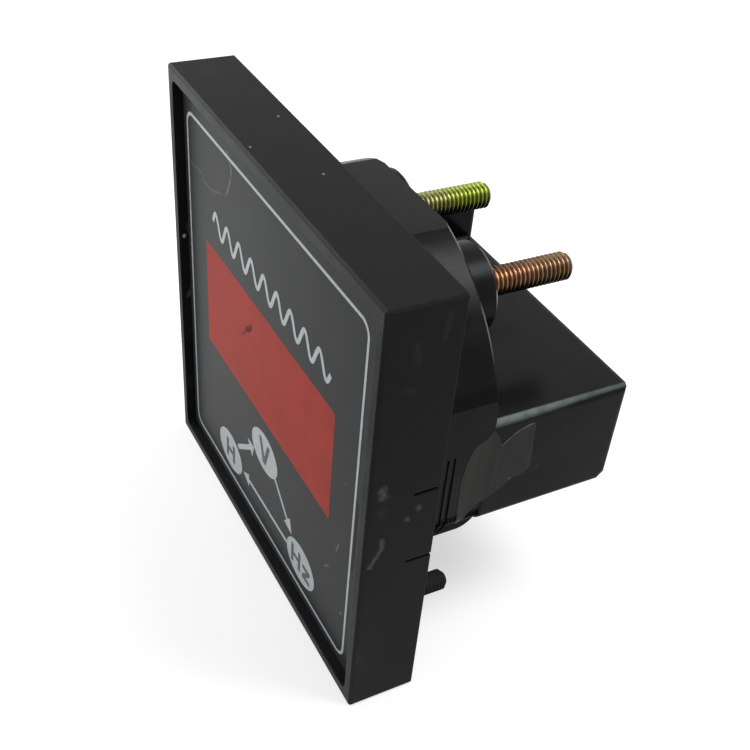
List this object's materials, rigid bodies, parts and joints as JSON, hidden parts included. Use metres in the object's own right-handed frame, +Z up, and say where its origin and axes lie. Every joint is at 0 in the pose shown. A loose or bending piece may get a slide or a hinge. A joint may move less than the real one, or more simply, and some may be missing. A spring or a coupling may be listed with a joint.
{
  "type": "digital panel meter",
  "caption": "Square panel meter with a digit window, a round drum body that passes through the panel, a boxed rear case and two threaded stud terminals.",
  "frame": {"origin": "centre of the drum in the plane of the flange's rear face, which lies against the panel", "axes": "+X right as seen from the front, +Y rearwards through the panel along the drum's axis, +Z up"},
  "size_m": [0.065, 0.0434, 0.065],
  "materials": {
    "housing_black": "fine moulded satin, scuffed",
    "case_black": "smooth moulded satin",
    "label_grey": "printed film, fine matte",
    "window_red": "dark red filter film, semi-matte",
    "tape_grey": "dull translucent tape, torn",
    "stud_yellow": "yellow-green passivated steel, threaded",
    "stud_bronze": "bronze passivated steel, threaded",
    "tinned_metal": "tinned",
    "screw_steel": "zinc plated",
    "wire_black": "soft sleeve",
    "wire_red": "soft sleeve",
    "display_body": "cast resin",
    "circuit_board": "laminate with solder mask",
    "chip_black": "moulded epoxy",
    "trimmer_blue": "moulded or dipped",
    "capacitor_yellow": "moulded box",
    "capacitor_black": "sleeved can",
    "resistor_grey": "cement coat"
  },
  "bodies": {
    "root": {"front_bezel": "housing_black", "face_label": "label_grey", "window_lens": "window_red", "drum_housing": "housing_black", "rear_case": "case_black", "seam_tape": "tape_grey", "terminal_stud_left": "stud_yellow", "terminal_stud_right": "stud_bronze", "solder_lug_left": "tinned_metal", "solder_lug_right": "tinned_metal", "lead_wire_left": "wire_black", "lead_wire_right": "wire_red", "digit_display": "display_body", "display_board": "circuit_board", "microcontroller": "chip_black", "memory_chip": "chip_black", "clock_crystal": "tinned_metal", "trim_potentiometer": "trimmer_blue", "board_link_header": "chip_black", "power_board": "circuit_board", "dropper_capacitor": "capacitor_yellow", "smoothing_capacitor": "capacitor_black", "bridge_rectifier": "chip_black", "surge_varistor": "trimmer_blue", "fuse_resistor": "resistor_grey", "voltage_regulator": "chip_black", "display_screws": "screw_steel", "case_screws": "screw_steel"}
  },
  "joints": []
}
